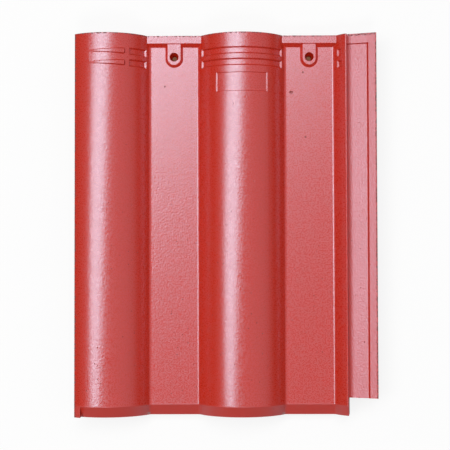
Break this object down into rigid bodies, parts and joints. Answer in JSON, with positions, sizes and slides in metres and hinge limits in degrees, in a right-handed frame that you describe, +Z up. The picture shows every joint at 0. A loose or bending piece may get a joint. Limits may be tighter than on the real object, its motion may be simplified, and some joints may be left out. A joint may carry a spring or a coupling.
{
  "type": "wave roof tile",
  "caption": "Interlocking concrete roof tile with two rounded waves, two flat pans, a side underlock and nail bosses at the head.",
  "frame": {"origin": "middle of the tile in plan, on the level floor under its nibs and weather bars", "axes": "+X across the roof towards the underlock, +Y up the slope towards the head, +Z up out of the roof"},
  "size_m": [0.3318, 0.4212, 0.0523],
  "materials": {
    "coated_concrete": "red acrylic coating with a satin sheen over fine cast concrete"
  },
  "bodies": {
    "root": {"roof_tile": "coated_concrete"}
  },
  "joints": []
}
